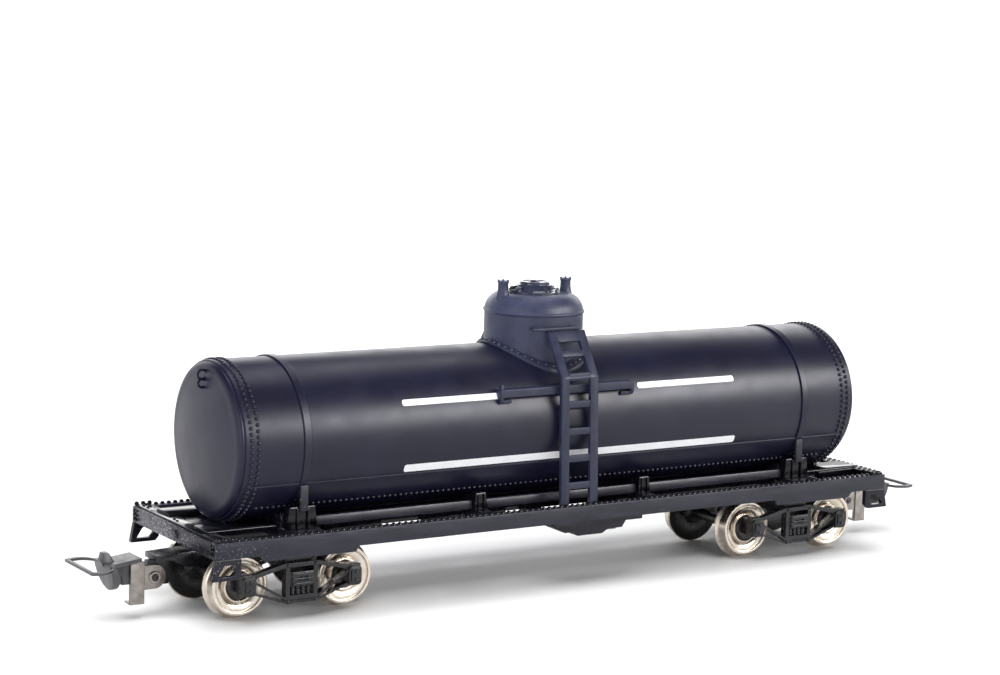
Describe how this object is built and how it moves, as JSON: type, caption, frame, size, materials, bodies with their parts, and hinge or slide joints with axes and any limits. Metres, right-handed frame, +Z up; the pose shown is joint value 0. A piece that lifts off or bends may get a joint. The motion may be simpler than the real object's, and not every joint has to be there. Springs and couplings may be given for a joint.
{
  "type": "model railway tank car",
  "caption": "Model railway tank car with a single expansion dome, ladders and side platforms, on swinging arch-bar bogies with rolling wheelsets and lifting bow couplers.",
  "frame": {"origin": "middle of the car on the floor, under the wheel flanges", "axes": "+X along the car, +Z up, -Y towards the ladder seen in the picture"},
  "size_m": [0.181, 0.034, 0.0556],
  "materials": {
    "tank_black": "semi-matt black paint",
    "frame_black": "satin black moulding",
    "bogie_black": "satin black moulding",
    "wheel_metal": "bright nickel plated",
    "lever_steel": "dull stamped steel",
    "coupler_grey": "grey moulding"
  },
  "bodies": {
    "car": {"bolster_left": "frame_black", "bolster_right": "frame_black", "brake_gear": "frame_black", "centre_sill": "frame_black", "centre_sill_end_left": "frame_black", "centre_sill_end_right": "frame_black", "cradle_board_far": "frame_black", "cradle_board_near": "frame_black", "cross_bearer_left": "frame_black", "cross_bearer_right": "frame_black", "dome_flange": "tank_black", "dome_handrail_far": "frame_black", "dome_handrail_near": "frame_black", "end_board_left": "frame_black", "end_board_right": "frame_black", "end_sill_left": "frame_black", "end_sill_right": "frame_black", "expansion_dome": "tank_black", "ladder_far": "frame_black", "ladder_near": "frame_black", "manhole_cover": "tank_black", "manhole_hinge": "tank_black", "safety_valve_left": "tank_black", "safety_valve_right": "tank_black", "side_platform_far": "frame_black", "side_platform_near": "frame_black", "side_sill_far": "frame_black", "side_sill_near": "frame_black", "step_left_far": "frame_black", "step_left_near": "frame_black", "step_right_far": "frame_black", "step_right_near": "frame_black", "tank_barrel": "tank_black", "tank_head_left": "tank_black", "tank_head_right": "tank_black"},
    "bogie_left": {"bogie_left_beam": "bogie_black", "bogie_left_side_far": "bogie_black", "bogie_left_side_near": "bogie_black"},
    "wheelset_left_a": {"axle_left_a": "bogie_black", "wheels_left_a": "wheel_metal"},
    "wheelset_left_b": {"axle_left_b": "bogie_black", "wheels_left_b": "wheel_metal"},
    "coupler_left": {"coupler_left_head": "coupler_grey", "coupler_left_lever": "lever_steel"},
    "bogie_right": {"bogie_right_beam": "bogie_black", "bogie_right_side_far": "bogie_black", "bogie_right_side_near": "bogie_black"},
    "wheelset_right_a": {"axle_right_a": "bogie_black", "wheels_right_a": "wheel_metal"},
    "wheelset_right_b": {"axle_right_b": "bogie_black", "wheels_right_b": "wheel_metal"},
    "coupler_right": {"coupler_right_head": "coupler_grey", "coupler_right_lever": "lever_steel"}
  },
  "joints": [
    {"name": "bogie_left_swing", "type": "hinge", "parent": "car", "child": "bogie_left", "pos_m": [-0.0547, 0, 0.0114], "axis": [0, 0, 1], "range_deg": [-12, 12]},
    {"name": "wheelset_left_a_roll", "type": "hinge", "parent": "bogie_left", "child": "wheelset_left_a", "pos_m": [-0.06495, 0, 0.006], "axis": [0, 1, 0], "continuous": true},
    {"name": "wheelset_left_b_roll", "type": "hinge", "parent": "bogie_left", "child": "wheelset_left_b", "pos_m": [-0.04445, 0, 0.006], "axis": [0, 1, 0], "continuous": true},
    {"name": "coupler_left_lift", "type": "hinge", "parent": "bogie_left", "child": "coupler_left", "pos_m": [-0.077, 0, 0.0071], "axis": [0, 1, 0], "range_deg": [0, 15]},
    {"name": "bogie_right_swing", "type": "hinge", "parent": "car", "child": "bogie_right", "pos_m": [0.0547, 0, 0.0114], "axis": [0, 0, 1], "range_deg": [-12, 12]},
    {"name": "wheelset_right_a_roll", "type": "hinge", "parent": "bogie_right", "child": "wheelset_right_a", "pos_m": [0.04445, 0, 0.006], "axis": [0, 1, 0], "continuous": true},
    {"name": "wheelset_right_b_roll", "type": "hinge", "parent": "bogie_right", "child": "wheelset_right_b", "pos_m": [0.06495, 0, 0.006], "axis": [0, 1, 0], "continuous": true},
    {"name": "coupler_right_lift", "type": "hinge", "parent": "bogie_right", "child": "coupler_right", "pos_m": [0.077, 0, 0.0071], "axis": [0, -1, 0], "range_deg": [0, 15]}
  ]
}
